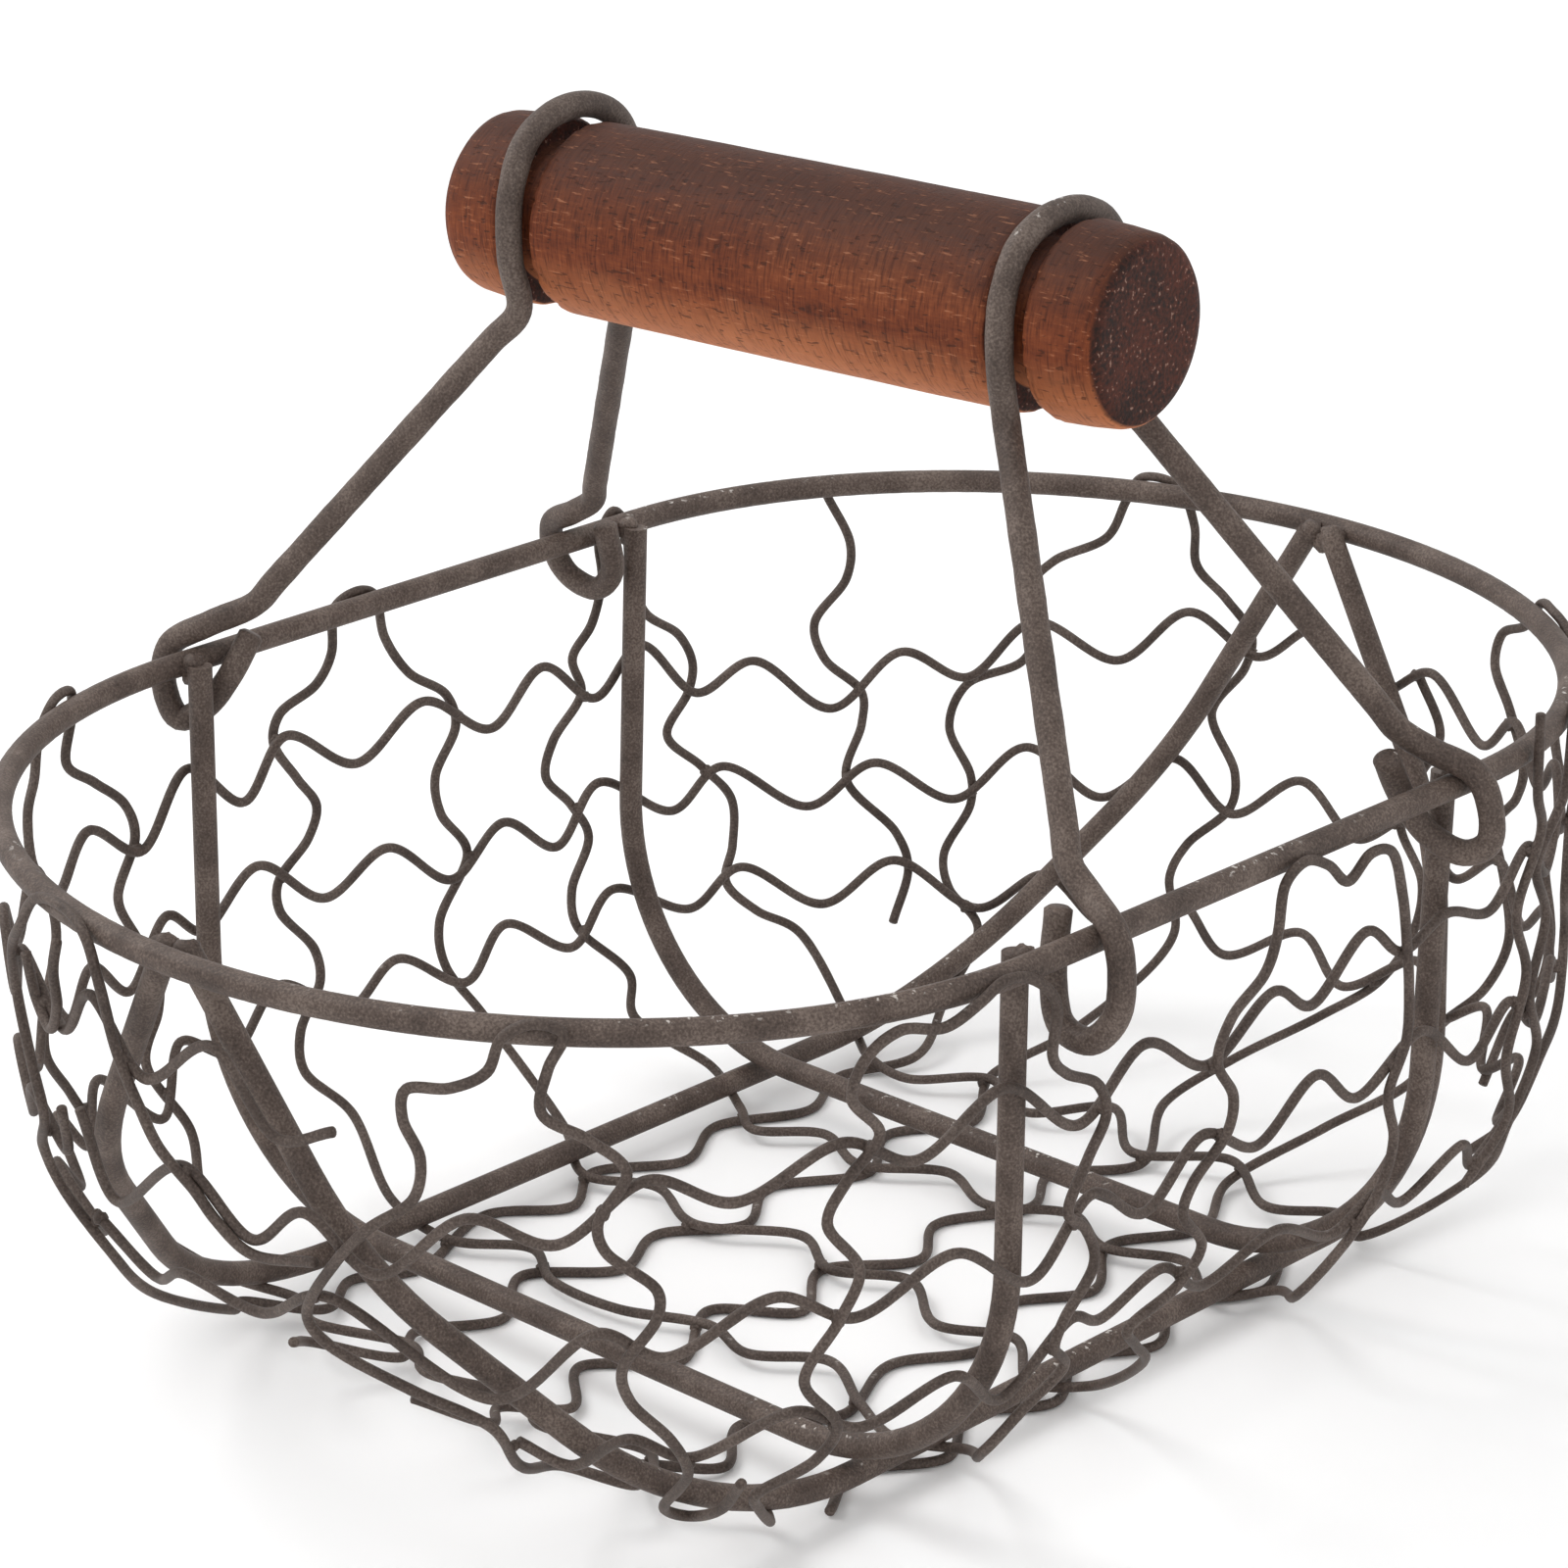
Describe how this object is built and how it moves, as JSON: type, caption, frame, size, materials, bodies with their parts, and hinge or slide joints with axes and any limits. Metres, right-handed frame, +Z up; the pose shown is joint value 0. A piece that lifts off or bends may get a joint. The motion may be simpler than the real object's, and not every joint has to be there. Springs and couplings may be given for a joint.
{
  "type": "wire produce basket",
  "caption": "Oval welded wire basket with a crimped wire mesh wall and floor, carried by a turned wooden roller held in hooked wire bails.",
  "frame": {"origin": "on the surface that the basket stands on, under the middle of the rim", "axes": "+Z up, +Y along the length of the basket towards its rear rounded end, +X across it, along the handle"},
  "size_m": [0.198, 0.2722, 0.1906],
  "materials": {
    "wire": "matte brown grey powder coat",
    "mesh_wire": "matte brown grey powder coat",
    "bail_wire": "matte brown grey powder coat, rubbed a little",
    "wood": "red brown stain, fine scratches"
  },
  "bodies": {
    "basket": {"rim": "wire", "front_cross_rib": "wire", "rear_cross_rib": "wire", "left_long_rib": "wire", "right_long_rib": "wire", "floor_cross_wire_1": "mesh_wire", "floor_cross_wire_2": "mesh_wire", "floor_cross_wire_3": "mesh_wire", "floor_cross_wire_4": "mesh_wire", "floor_cross_wire_5": "mesh_wire", "floor_long_wire_1": "mesh_wire", "floor_long_wire_2": "mesh_wire", "floor_long_wire_3": "mesh_wire", "floor_long_wire_4": "mesh_wire", "floor_long_wire_5": "mesh_wire", "hairpin_wire_01": "mesh_wire", "hairpin_wire_02": "mesh_wire", "hairpin_wire_03": "mesh_wire", "hairpin_wire_04": "mesh_wire", "hairpin_wire_05": "mesh_wire", "hairpin_wire_06": "mesh_wire", "hairpin_wire_07": "mesh_wire", "hairpin_wire_08": "mesh_wire", "hairpin_wire_09": "mesh_wire", "hairpin_wire_10": "mesh_wire", "row_1_wire_1": "mesh_wire", "row_1_wire_2": "mesh_wire", "row_1_wire_3": "mesh_wire", "row_1_wire_4": "mesh_wire", "row_1_wire_5": "mesh_wire", "row_1_wire_6": "mesh_wire", "row_1_wire_7": "mesh_wire", "row_1_wire_8": "mesh_wire", "row_2_wire_1": "mesh_wire", "row_2_wire_2": "mesh_wire", "row_2_wire_3": "mesh_wire", "row_2_wire_4": "mesh_wire", "row_2_wire_5": "mesh_wire", "row_2_wire_6": "mesh_wire", "row_2_wire_7": "mesh_wire", "row_3_wire_1": "mesh_wire", "row_3_wire_2": "mesh_wire", "row_3_wire_3": "mesh_wire", "row_3_wire_4": "mesh_wire", "row_3_wire_5": "mesh_wire", "row_3_wire_6": "mesh_wire", "short_wire_1": "mesh_wire", "short_wire_2": "mesh_wire", "short_wire_3": "mesh_wire", "short_wire_4": "mesh_wire"},
    "left_bail": {"left_bail": "bail_wire"},
    "right_bail": {"right_bail": "bail_wire"},
    "roller": {"handle_roller": "wood"}
  },
  "joints": [
    {"name": "left_bail_lift", "type": "slide", "parent": "basket", "child": "left_bail", "axis": [0, 0, 1], "range_m": [0, 0.0095]},
    {"name": "right_bail_lift", "type": "slide", "parent": "basket", "child": "right_bail", "axis": [0, 0, 1], "range_m": [0, 0.0095]},
    {"name": "roller_spin", "type": "hinge", "parent": "left_bail", "child": "roller", "pos_m": [0, 0, 0.17115], "axis": [0.9962, 0.0872, 0], "continuous": true}
  ],
  "couplings": [
    {"joint": "right_bail_lift", "follows": "left_bail_lift", "ratio": 1}
  ]
}
